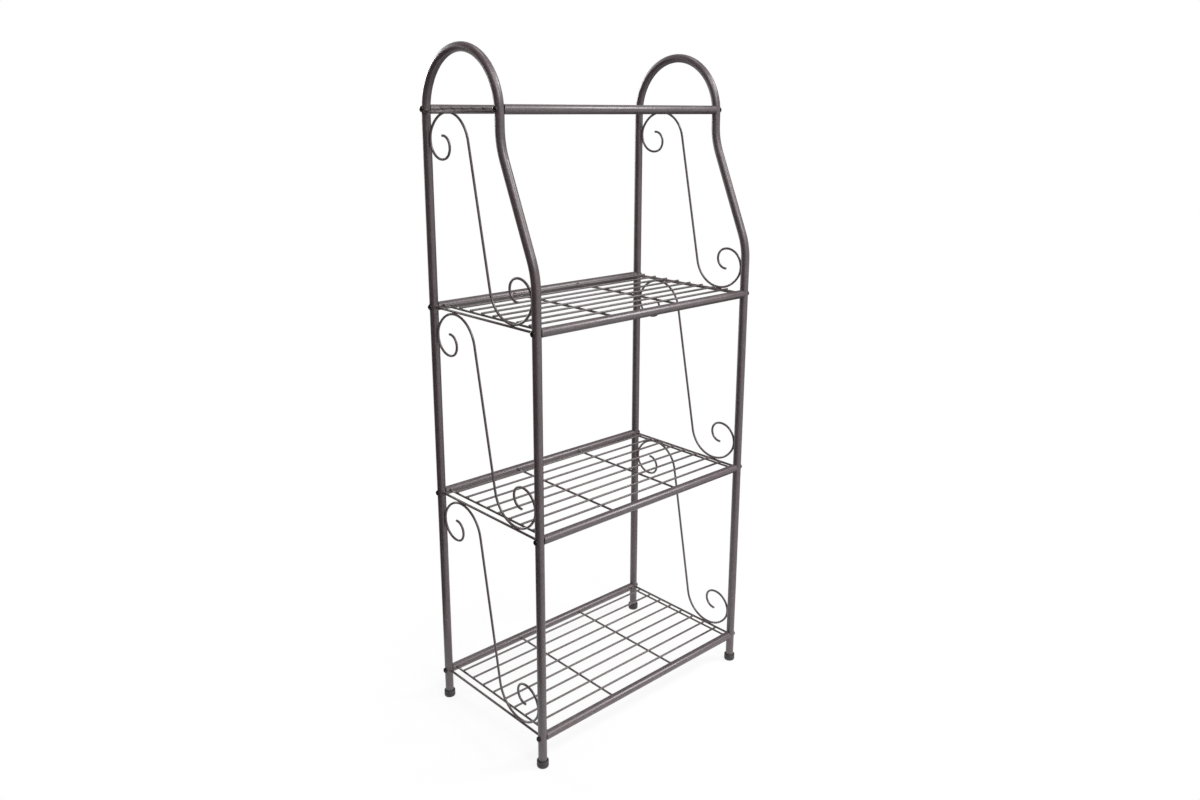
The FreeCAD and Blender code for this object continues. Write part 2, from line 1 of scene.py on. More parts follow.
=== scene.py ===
"""Looks of a tiered plant stand of bent tube and wire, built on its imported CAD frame.

Lengths of the stand and the camera are millimetres in the CAD's frame: +Z up, +X along the shelf rails to
the right, +Y to the rear, origin on the floor in the middle of the four feet. Meshes are written in metres,
and the studio's lengths are metres.
"""
import logging
import math
import random
from dataclasses import dataclass, field
from enum import Enum
from typing import Callable, Iterator, Optional, Sequence, Union

import bmesh
import bpy
from mathutils import Matrix, Vector


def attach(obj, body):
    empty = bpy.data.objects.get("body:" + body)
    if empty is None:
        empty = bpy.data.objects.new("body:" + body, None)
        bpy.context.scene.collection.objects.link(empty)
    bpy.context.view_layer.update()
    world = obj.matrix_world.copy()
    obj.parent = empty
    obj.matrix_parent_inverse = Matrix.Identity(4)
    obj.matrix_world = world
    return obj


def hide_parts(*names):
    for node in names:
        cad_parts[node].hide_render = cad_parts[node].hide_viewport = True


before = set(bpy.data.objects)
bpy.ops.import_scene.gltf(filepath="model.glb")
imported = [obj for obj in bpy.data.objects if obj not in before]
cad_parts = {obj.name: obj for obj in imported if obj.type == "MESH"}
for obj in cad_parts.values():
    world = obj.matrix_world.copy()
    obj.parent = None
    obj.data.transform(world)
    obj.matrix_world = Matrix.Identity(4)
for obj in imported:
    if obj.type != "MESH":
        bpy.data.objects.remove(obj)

LOG = logging.getLogger("plant_stand")
MM = 0.001
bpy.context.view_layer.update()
WHITE = (1.0, 1.0, 1.0, 1.0)

# Span that the values of a noise texture mostly keep to
NOISE_LOW = 0.3
NOISE_HIGH = 0.7

# Points round a section, by the kind of piece
TUBE_SIDES = 48
BAR_SIDES = 28
WIRE_SIDES = 24
BEAD_SIDES = 12
FOOT_SIDES = 56

# Edges of drawn pieces that turn more than this stay crisp
SHARP_DEGREES = 38.0

# Marks of the steps in a weld bead that runs round a joint: their depth by the bead's radius, how many
# there are, and how much thicker one side of the bead is
RIPPLE_DEPTH = 0.07
RIPPLE_COUNTS = (7, 8, 9)
RIPPLE_LEAN = (0.06, 0.14)

# The same marks in a short straight bead, and the least share left at its ends
SEAM_DEPTH = 0.08
SEAM_COUNT = 4
SEAM_END = 0.02

# A small rounded edge has one point between its ends, this share of its radius from both sides
EDGE_SHARE = 0.3

Point = tuple[float, float]
Span = tuple[float, float]
Ring = list[Vector]
SocketValue = Union[float, tuple, bpy.types.NodeSocket]


class Side(Enum):
    """Side frame, by the sign of its X."""

    LEFT = -1
    RIGHT = 1

    @property
    def word(self) -> str:
        """The side's name as the CAD nodes spell it."""
        return self.name.lower()


class Axis(Enum):
    """Direction of a turned piece, with the two directions across it."""

    X = (Vector((1, 0, 0)), Vector((0, 1, 0)), Vector((0, 0, 1)))
    Y = (Vector((0, 1, 0)), Vector((0, 0, 1)), Vector((1, 0, 0)))
    Z = (Vector((0, 0, 1)), Vector((1, 0, 0)), Vector((0, 1, 0)))


class Slot(Enum):
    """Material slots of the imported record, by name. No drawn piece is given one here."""

    COAT = "powder_coated_steel"
    BOLT = "bolt_steel"
    FOOT = "moulded_plastic"


def linear(hex_colour: str) -> tuple[float, float, float, float]:
    """Turn an sRGB hex colour to linear RGBA.

    Args:
        hex_colour: Colour such as "#6a6264".

    Returns:
        Linear red, green, blue and an alpha of 1.
    """
    parts = [int(hex_colour[k : k + 2], 16) / 255 for k in (1, 3, 5)]
    red, green, blue = (c / 12.92 if c <= 0.04045 else ((c + 0.055) / 1.055) ** 2.4 for c in parts)
    return red, green, blue, 1.0


def per_metre(size_mm: float) -> float:
    """Texture scale that gives a pattern of the named size in millimetres."""
    return 1 / (size_mm * MM)


def full_turn(count: int) -> list[float]:
    """Angles of evenly spaced points round a circle, in radians."""
    return [2 * math.pi * k / count for k in range(count)]


def add_node(
    tree: bpy.types.NodeTree,
    kind: str,
    settings: Optional[dict] = None,
    inputs: Optional[dict[Union[int, str], SocketValue]] = None,
) -> bpy.types.Node:
    """Add a node with its settings, values and links.

    Args:
        tree: Node tree to add to.
        kind: Blender's name of the node type.
        settings: Attributes of the node.
        inputs: Values or source sockets, by the input's name or number.

    Returns:
        The new node.
    """
    node = tree.nodes.new(kind)
    for key, value in (settings or {}).items():
        setattr(node, key, value)
    for key, value in (inputs or {}).items():
        if isinstance(value, bpy.types.NodeSocket):
            tree.links.new(value, node.inputs[key])
        else:
            node.inputs[key].default_value = value
    return node


def new_material(name: str) -> tuple[bpy.types.Material, bpy.types.NodeTree]:
    """Make an empty node material.

    Args:
        name: The material's name.

    Returns:
        The material and its node tree.
    """
    material = bpy.data.materials.new(name)
    material.use_nodes = True
    material.node_tree.nodes.clear()
    return material, material.node_tree


@dataclass(frozen=True)
class PowderCoat:
    """Powder coat baked on steel: satin, with a metallic fleck and a slight orange peel.

    The eye sees a soft sheen along each tube, a fine two-tone grain and no sharp reflections.
    """

    name: str
    body: str
    fleck: str
    pit: str
    metallic: float
    roughness: float
    roughness_swing: float
    specular: float
    grain: float = 0.5
    # A real fleck is a few tenths of a millimetre across: it is drawn coarser so that it shows
    fleck_mm: float = 3.2
    # Noise values where flecks and pits start, and where they are full
    fleck_span: Span = (0.52, 0.74)
    pit_span: Span = (0.46, 0.28)
    cloud_mm: float = 55.0
    cloud_shade: Span = (0.86, 1.1)
    peel_mm: float = 2.4
    peel_depth_mm: float = 0.035

    def material(self) -> bpy.types.Material:
        """Build the node material.

        Returns:
            The finished material.
        """
        material, tree = new_material(self.name)
        place = add_node(tree, "ShaderNodeTexCoord").outputs["Object"]
        grain = add_node(
            tree,
            "ShaderNodeTexNoise",
            inputs={"Vector": place, "Scale": per_metre(self.fleck_mm), "Detail": 2.0, "Roughness": 0.6},
        )
        cloud = add_node(
            tree,
            "ShaderNodeTexNoise",
            inputs={"Vector": place, "Scale": per_metre(self.cloud_mm), "Detail": 3.0, "Roughness": 0.5},
        )
        start, full = self.fleck_span
        light = add_node(
            tree,
            "ShaderNodeMapRange",
            inputs={0: grain.outputs[0], 1: start, 2: full, 3: 0.0, 4: self.grain},
        )
        start, full = self.pit_span
        dark = add_node(
            tree,
            "ShaderNodeMapRange",
            inputs={0: grain.outputs[0], 1: start, 2: full, 3: 0.0, 4: self.grain},
        )
        flecked = add_node(
            tree,
            "ShaderNodeMix",
            {"data_type": "RGBA"},
            {0: light.outputs[0], 6: linear(self.body), 7: linear(self.fleck)},
        )
        pitted = add_node(
            tree,
            "ShaderNodeMix",
            {"data_type": "RGBA"},
            {0: dark.outputs[0], 6: flecked.outputs[2], 7: linear(self.pit)},
        )
        dim, bright = self.cloud_shade
        shade = add_node(
            tree,
            "ShaderNodeMapRange",
            inputs={0: cloud.outputs[0], 1: NOISE_LOW, 2: NOISE_HIGH, 3: dim, 4: bright},
        )
        toned = add_node(
            tree,
            "ShaderNodeMix",
            {"data_type": "RGBA", "blend_type": "MULTIPLY"},
            {0: 1.0, 6: pitted.outputs[2], 7: shade.outputs[0]},
        )
        smooth, rough = self.roughness - self.roughness_swing, self.roughness + self.roughness_swing
        polish = add_node(
            tree,
            "ShaderNodeMapRange",
            inputs={0: cloud.outputs[0], 1: NOISE_LOW, 2: NOISE_HIGH, 3: smooth, 4: rough},
        )
        peel = add_node(
            tree,
            "ShaderNodeTexNoise",
            inputs={"Vector": place, "Scale": per_metre(self.peel_mm), "Detail": 1.0, "Roughness": 0.4},
        )
        bump = add_node(
            tree,
            "ShaderNodeBump",
            inputs={"Strength": 1.0, "Distance": self.peel_depth_mm * MM, "Height": peel.outputs[0]},
        )
        shader = add_node(
            tree,
            "ShaderNodeBsdfPrincipled",
            inputs={
                "Base Color": toned.outputs[2],
                "Metallic": self.metallic,
                "Roughness": polish.outputs[0],
                "Specular IOR Level": self.specular,
                "Normal": bump.outputs[0],
            },
        )
        add_node(tree, "ShaderNodeOutputMaterial", inputs={"Surface": shader.outputs[0]})
        return material


@dataclass(frozen=True)
class BareSteel:
    """Steel with a thin chemical or plated skin: bolts blackened, plugs zinc-plated.

    The eye sees a mottle finer than half a millimetre and a clear metal highlight.
    """

    name: str
    body: str
    patch: str
    roughness: float
    smoother: float = 0.08
    rougher: float = 0.1
    # The real mottle is finer: it is drawn coarser so that it shows close up
    mottle_mm: float = 0.35
    mottle_depth_mm: float = 0.02

    def material(self) -> bpy.types.Material:
        """Build the node material.

        Returns:
            The finished material.
        """
        material, tree = new_material(self.name)
        place = add_node(tree, "ShaderNodeTexCoord").outputs["Object"]
        mottle = add_node(
            tree,
            "ShaderNodeTexNoise",
            inputs={"Vector": place, "Scale": per_metre(self.mottle_mm), "Detail": 2.0, "Roughness": 0.55},
        )
        tone = add_node(
            tree,
            "ShaderNodeMix",
            {"data_type": "RGBA"},
            {0: mottle.outputs[0], 6: linear(self.body), 7: linear(self.patch)},
        )
        smooth, rough = self.roughness - self.smoother, self.roughness + self.rougher
        polish = add_node(
            tree,
            "ShaderNodeMapRange",
            inputs={0: mottle.outputs[0], 1: NOISE_LOW, 2: NOISE_HIGH, 3: smooth, 4: rough},
        )
        bump = add_node(
            tree,
            "ShaderNodeBump",
            inputs={"Distance": self.mottle_depth_mm * MM, "Height": mottle.outputs[0]},
        )
        shader = add_node(
            tree,
            "ShaderNodeBsdfPrincipled",
            inputs={
                "Base Color": tone.outputs[2],
                "Metallic": 1.0,
                "Roughness": polish.outputs[0],
                "Normal": bump.outputs[0],
            },
        )
        add_node(tree, "ShaderNodeOutputMaterial", inputs={"Surface": shader.outputs[0]})
        return material


@dataclass(frozen=True)
class MouldedPlastic:
    """Polyethylene moulded in a spark-eroded tool: a dull, even grain, scuffed paler near the floor.

    The eye sees a soft dark cup with a weak, wide highlight.
    """

    name: str
    body: str
    scuff: str
    roughness: float
    smoother: float = 0.06
    rougher: float = 0.1
    # The real grain is finer: it is drawn coarser so that it shows close up
    grain_mm: float = 0.5
    grain_depth_mm: float = 0.03
    rub_mm: float = 3.0
    scuff_height_mm: float = 4.0
    # How strong the scuffs are on the floor, and above that height
    scuff_share: Span = (0.9, 0.12)

    def material(self) -> bpy.types.Material:
        """Build the node material.

        Returns:
            The finished material.
        """
        material, tree = new_material(self.name)
        place = add_node(tree, "ShaderNodeTexCoord").outputs["Object"]
        grain = add_node(
            tree,
            "ShaderNodeTexNoise",
            inputs={"Vector": place, "Scale": per_metre(self.grain_mm), "Detail": 2.0},
        )
        rub = add_node(
            tree,
            "ShaderNodeTexNoise",
            inputs={"Vector": place, "Scale": per_metre(self.rub_mm), "Detail": 4.0, "Roughness": 0.7},
        )
        height = add_node(tree, "ShaderNodeSeparateXYZ", inputs={0: place})
        low = add_node(
            tree,
            "ShaderNodeMapRange",
            inputs={
                0: height.outputs["Z"],
                1: 0.0,
                2: self.scuff_height_mm * MM,
                3: self.scuff_share[0],
                4: self.scuff_share[1],
            },
        )
        worn = add_node(
            tree,
            "ShaderNodeMath",
            {"operation": "MULTIPLY"},
            {0: low.outputs[0], 1: rub.outputs[0]},
        )
        tone = add_node(
            tree,
            "ShaderNodeMix",
            {"data_type": "RGBA"},
            {0: worn.outputs[0], 6: linear(self.body), 7: linear(self.scuff)},
        )
        bump = add_node(
            tree,
            "ShaderNodeBump",
            inputs={"Distance": self.grain_depth_mm * MM, "Height": grain.outputs[0]},
        )
        smooth, rough = self.roughness - self.smoother, self.roughness + self.rougher
        polish = add_node(
            tree,
            "ShaderNodeMapRange",
            inputs={0: rub.outputs[0], 1: NOISE_LOW, 2: NOISE_HIGH, 3: smooth, 4: rough},
        )
        shader = add_node(
            tree,
            "ShaderNodeBsdfPrincipled",
            inputs={
                "Base Color": tone.outputs[2],
                "Roughness": polish.outputs[0],
                "Normal": bump.outputs[0],
            },
        )
        add_node(tree, "ShaderNodeOutputMaterial", inputs={"Surface": shader.outputs[0]})
        return material


# Powder-coated steel tube: satin bronze-grey with a soft sheen down its length
TUBE_COAT = PowderCoat(
    name="steel_tube_bronze_grey_powder_coat",
    body="#53484b",
    fleck="#7d7377",
    pit="#3a3033",
    metallic=0.05,
    roughness=0.38,
    roughness_swing=0.04,
    specular=1.0,
)
# The same coat on wire, with a finer grain that suits the thin section. Its colour is a touch paler
# than the tube coat's as painted light, for the lighter tops that the thin wires catch.
WIRE_COAT = PowderCoat(
    name="steel_wire_bronze_grey_powder_coat",
    body="#564b4d",
    fleck="#7a7072",
    pit="#3d3335",
    metallic=0.05,
    roughness=0.38,
    roughness_swing=0.04,
    specular=1.0,
    fleck_mm=2.4,
    peel_mm=1.6,
    peel_depth_mm=0.02,
)
# Black oxide on machined bolts: nearly black, with small clear highlights
BLACK_OXIDE = BareSteel(name="bolt_steel_black_oxide", body="#2a2627", patch="#4a4546", roughness=0.26)
# Zinc plate on turned plugs: a pale cool grey inside the rail ends
ZINC = BareSteel(name="plug_steel_zinc_plated", body="#9a9b9c", patch="#b9b9b8", roughness=0.35)
# Moulded polyethylene: dull charcoal that is rubbed paler at the floor
PLASTIC = MouldedPlastic(name="foot_polyethylene_moulded", body="#353233", scuff="#5c5958", roughness=0.5)


class Wardrobe:
    """Makes each finish's material once and hands it out."""

    def __init__(self) -> None:
        """Start with no materials."""
        self._made: dict[str, bpy.types.Material] = {}

    def material(self, finish: Union[PowderCoat, BareSteel, MouldedPlastic]) -> bpy.types.Material:
        """Give the material of a finish.

        Args:
            finish: The finish wanted.

        Returns:
            Its one material.
        """
        if finish.name not in self._made:
            self._made[finish.name] = finish.material()
        return self._made[finish.name]


class Draft:
    """A mesh being drawn in millimetres from rings of points."""

    def __init__(self, sides: int) -> None:
        """Start an empty draft.

        Args:
            sides: Points in each ring.
        """
        self.sides = sides
        self._mesh = bmesh.new()

    def rings(self, rings: Sequence[Ring], loop: bool = False) -> None:
        """Skin a row of rings, closing the two ends or joining the last ring to the first.

        Args:
            rings: Rings of equal numbers of points.
            loop: Whether the row closes on itself.
        """
        rows = [[self._mesh.verts.new(point) for point in ring] for ring in rings]
        count = len(rows)
        for index in range(count if loop else count - 1):
            here, there = rows[index], rows[(index + 1) % count]
            for k in range(len(here)):
                after = (k + 1) % len(here)
                self._mesh.faces.new((here[k], here[after], there[after], there[k]))
        if not loop:
            self._mesh.faces.new(rows[0][::-1])
            self._mesh.faces.new(rows[-1])

    def turn(
        self,
        profile: Sequence[Point],
        centre: Vector,
        axis: Axis,
        outward: int = 1,
        loop: bool = False,
        shapes: Optional[dict[int, Callable[[float], float]]] = None,
        cope: Optional[Callable[[float], float]] = None,
    ) -> None:
        """Turn a profile round an axis.

        Args:
            profile: (along, radius) points.
            centre: Point of the axis where along is 0.
            axis: The axis.
            outward: 1, or -1 to mirror the piece along the axis.
            loop: Whether the profile closes on itself, as a tube's wall does.
            shapes: For some profile points, the radius as a function of the angle.
            cope: How much further both ends reach, by the distance across the axis.
        """
        along, across, up = axis.value
        rings = []
        for number, (reach, radius) in enumerate(profile):
            shape = (shapes or {}).get(number)
            ring = []
            for angle in full_turn(self.sides):
                r = shape(angle) if shape else radius
                aside = r * math.cos(angle)
                far = reach + math.copysign(cope(aside), reach) if cope else reach
                ring.append(centre + along * (outward * far) + across * aside + up * (r * math.sin(angle)))
            rings.append(ring)
        self.rings(rings, loop)

    def sweep(self, path: Sequence[Vector], radius: Callable[[float], float], loop: bool = False) -> None:
        """Sweep a round section along a path.

        Args:
            path: Points of the centre line.
            radius: Section radius, by the share of the path gone by.
            loop: Whether the path closes on itself.
        """
        count = len(path)
        rings = []
        normal: Optional[Vector] = None
        for index, point in enumerate(path):
            before = path[index - 1] if loop or index else point
            after = path[(index + 1) % count] if loop or index < count - 1 else point
            tangent = (after - before).normalized()
            if normal is None:
                normal = tangent.orthogonal()
            normal = (normal - tangent * normal.dot(tangent)).normalized()
            other = tangent.cross(normal)
            r = radius(index / (count if loop else count - 1))
            ring = []
            for angle in full_turn(self.sides):
                ring.append(point + normal * (r * math.cos(angle)) + other * (r * math.sin(angle)))
            rings.append(ring)
        self.rings(rings, loop)

    def object(
        self,
        name: str,
        material: bpy.types.Material,
        replaces: Sequence[str] = (),
    ) -> None:
        """Write the draft as a piece of the object, in metres, riding on the frame.

        Args:
            name: The piece's name.
            material: Its material.
            replaces: CAD nodes that it stands for.
        """
        bmesh.ops.recalc_face_normals(self._mesh, faces=self._mesh.faces)
        bmesh.ops.scale(self._mesh, vec=(MM, MM, MM), verts=self._mesh.verts)
        mesh = bpy.data.meshes.new(name)
        self._mesh.to_mesh(mesh)
        self._mesh.free()
        mesh.shade_smooth()
        mesh.set_sharp_from_angle(angle=math.radians(SHARP_DEGREES))
        mesh.materials.append(material)
        piece = bpy.data.objects.new(name, mesh)
        bpy.context.collection.objects.link(piece)
        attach(piece, "root")
        if replaces:
            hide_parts(*replaces)
        LOG.info("%s: %d faces", name, len(mesh.polygons))


def dress(node: str, material: bpy.types.Material) -> None:
    """Give a CAD node that stays its finish.

    Args:
        node: The node's name.
        material: Its material.
    """
    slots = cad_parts[node].data.materials
    slots.clear()
    slots.append(material)
    LOG.info("%s: dressed with %s", node, material.name)


def cut_rod(half_length: float, radius: float, round_mm: float) -> list[Point]:
    """Profile of a rod whose cut ends are softened by the coat.

    Args:
        half_length: Half of the rod's length.
        radius: The rod's radius.
        round_mm: Rounding of the end edges.

    Returns:
        (along, radius) points from one end to the other.
    """
    end = []
    for degrees in (0, 30, 60, 90):
        angle = math.radians(degrees)
        along = half_length - round_mm * (1 - math.sin(angle))
        end.append((along, radius - round_mm * (1 - math.cos(angle))))
    return [(-along, r) for along, r in reversed(end)] + end


@dataclass(frozen=True)
class Shelf:
    """One shelf: two tube rails, cross wires welded between them and deck wires welded on top."""

    name: str
    height: float
    front_y: float
    rear_y: float
    long_wires: int
    drop: float = 0.0
    rail_half: float = 282.9
    rail_radius: float = 9.0
    rail_bore: float = 7.8
    end_round: float = 0.5
    wire_radius: float = 2.25
    long_half: float = 280.0
    long_round: float = 0.6
    cross_round: float = 0.3
    cross_spots: tuple[float, ...] = (-275.0, -275.0 / 3, 275.0 / 3, 275.0)
    weld_gap: float = 0.2
    bead: float = 1.15
    bead_spread: float = 0.4
    bead_stand: float = 0.25
    bead_steps: int = 32
    lens_radius: float = 2.1
    lens_half: float = 0.95
    leg_radius: float = 9.0
    cope_share: float = 0.5

    @property
    def bar_height(self) -> float:
        """Centre line of the side bars at this shelf: as high as the rails', or a little lower."""
        return self.height - self.drop

    @property
    def long_rise(self) -> float:
        """Deck wires' centre line: their tops are level with the rails' tops, or a little lower."""
        return self.bar_height + self.rail_radius - self.wire_radius

    @property
    def cross_rise(self) -> float:
        """Cross wires' centre line, just under the deck wires."""
        return self.long_rise - 2 * self.wire_radius - self.weld_gap

    def long_rows(self) -> list[float]:
        """Y of each deck wire, evenly between the rails."""
        pitch = (self.rear_y - self.front_y) / (self.long_wires + 1)
        return [self.front_y + pitch * (k + 1) for k in range(self.long_wires)]

    def build(self, wardrobe: Wardrobe) -> None:
        """Make the shelf's pieces.

        Args:
            wardrobe: Source of materials.
        """
        self._rails(wardrobe.material(TUBE_COAT))
        self._wires(wardrobe.material(WIRE_COAT))
        self._welds(wardrobe.material(WIRE_COAT))

    def _cope(self, aside: float) -> float:
        """Extra reach of a rail end beside the round leg, a share of what would fill the gap there."""
        return self.cope_share * (self.leg_radius - math.sqrt(max(0.0, self.leg_radius**2 - aside**2)))

    def _rails(self, coat: bpy.types.Material) -> None:
        """Make the front and rear rail, open tubes whose ends are cut a little hollow and softened.

        Args:
            coat: The rails' material.
        """
        outside = cut_rod(self.rail_half, self.rail_radius, self.end_round)
        wall = outside + [(self.rail_half, self.rail_bore), (-self.rail_half, self.rail_bore)]
        for row, y in (("front", self.front_y), ("rear", self.rear_y)):
            draft = Draft(TUBE_SIDES)
            draft.turn(wall, Vector((0, y, self.height)), Axis.X, loop=True, cope=self._cope)
            node = f"{self.name}_{row}_rail"
            draft.object(f"{node}_tube", coat, [node])

    def _wires(self, coat: bpy.types.Material) -> None:
        """Make the deck wires and the cross wires.

        Args:
            coat: The wires' material.
        """
        deck = Draft(WIRE_SIDES)
        rod = cut_rod(self.long_half, self.wire_radius, self.long_round)
        for y in self.long_rows():
            deck.turn(rod, Vector((0, y, self.long_rise)), Axis.X)
        node = f"{self.name}_long_wires"
        deck.object(f"{node}_drawn", coat, [node])

        cross = Draft(WIRE_SIDES)
        half = (self.rear_y - self.front_y) / 2 - self.rail_radius - self.weld_gap
        middle = (self.rear_y + self.front_y) / 2
        rod = cut_rod(half, self.wire_radius, self.cross_round)
        for x in self.cross_spots:
            cross.turn(rod, Vector((x, middle, self.cross_rise)), Axis.Y)
        node = f"{self.name}_cross_wires"
        cross.object(f"{node}_drawn", coat, [node])

    def _welds(self, coat: bpy.types.Material) -> None:
        """Make the beads at the cross wires' ends and the pressed welds where wires cross.

        Args:
            coat: The welds' material.
        """
        beads = Draft(BEAD_SIDES)
        chance = random.Random(self.name)
        level = self.cross_rise - self.height
        reach = self.wire_radius + self.bead_spread
        lens = pressed_weld(self.lens_radius, self.lens_half)
        for x in self.cross_spots:
            for y, inward in ((self.front_y, 1), (self.rear_y, -1)):
                path = []
                for angle in full_turn(self.bead_steps):
                    lift = level + reach * math.sin(angle)
                    out = math.sqrt(self.rail_radius**2 - lift**2) + self.bead_stand
                    path.append(Vector((x + reach * math.cos(angle), y + inward * out, self.height + lift)))
                beads.sweep(path, ripple(self.bead, chance), loop=True)
            for y in self.long_rows():
                spot = Vector((x, y, self.long_rise - self.wire_radius - self.weld_gap / 2))
                beads.turn(lens, spot, Axis.Z)
        beads.object(f"{self.name}_shelf_welds", coat)


def ripple(radius: float, chance: random.Random) -> Callable[[float], float]:
    """Section of a weld bead that runs round a joint, with the marks of its steps.

    Args:
        radius: Mean radius of the bead.
        chance: Seeded source of the bead's own pattern.

    Returns:
        Radius by the share of the bead gone by.
    """
    turns = chance.choice(RIPPLE_COUNTS)
    phase = chance.uniform(0, 2 * math.pi)
    lean = chance.uniform(*RIPPLE_LEAN)

    def section(share: float) -> float:
        """Give the bead's radius at one place.

        Args:
            share: Share of the bead gone by.

        Returns:
            The radius there.
        """
        angle = 2 * math.pi * share
        marks = RIPPLE_DEPTH * math.sin(turns * angle + phase)
        return radius * (1 + marks + lean * math.sin(angle + phase))

    return section


def seam(radius: float, chance: random.Random) -> Callable[[float], float]:
    """Section of a short straight weld bead with run-out ends.

    Args:
        radius: Largest radius of the bead.
        chance: Seeded source of the bead's own pattern.

    Returns:
        Radius by the share of the bead gone by.
    """
    phase = chance.uniform(0, 2 * math.pi)

    def section(share: float) -> float:
        """Give the bead's radius at one place.

        Args:
            share: Share of the bead gone by.

        Returns:
            The radius there.
        """
        swell = math.sqrt(max(SEAM_END, 1 - (2 * share - 1) ** 2))
        marks = SEAM_DEPTH * math.sin(2 * math.pi * SEAM_COUNT * share + phase)
        return radius * swell * (1 + marks)

    return section


def pressed_weld(radius: float, half_height: float) -> list[Point]:
    """Profile of the flat lens of steel squeezed out where two crossing wires were pressed together.

    Args:
        radius: Radius of the lens.
        half_height: Half of its thickness.

    Returns:
        (along, radius) points from bottom to top.
    """
    points = []
    for degrees in range(-80, 81, 20):
        angle = math.radians(degrees)
        points.append((half_height * math.sin(angle), radius * math.cos(angle)))
    return points


@dataclass(frozen=True)
class Tier:
    """Space between two shelves on a side frame, filled by one scroll."""

    name: str
    below: float
    above: float
    bar_above: float

    @property
    def lapped(self) -> bool:
        """Whether the upper side bar lies beside the scroll instead of on it."""
        return self.bar_above < self.above


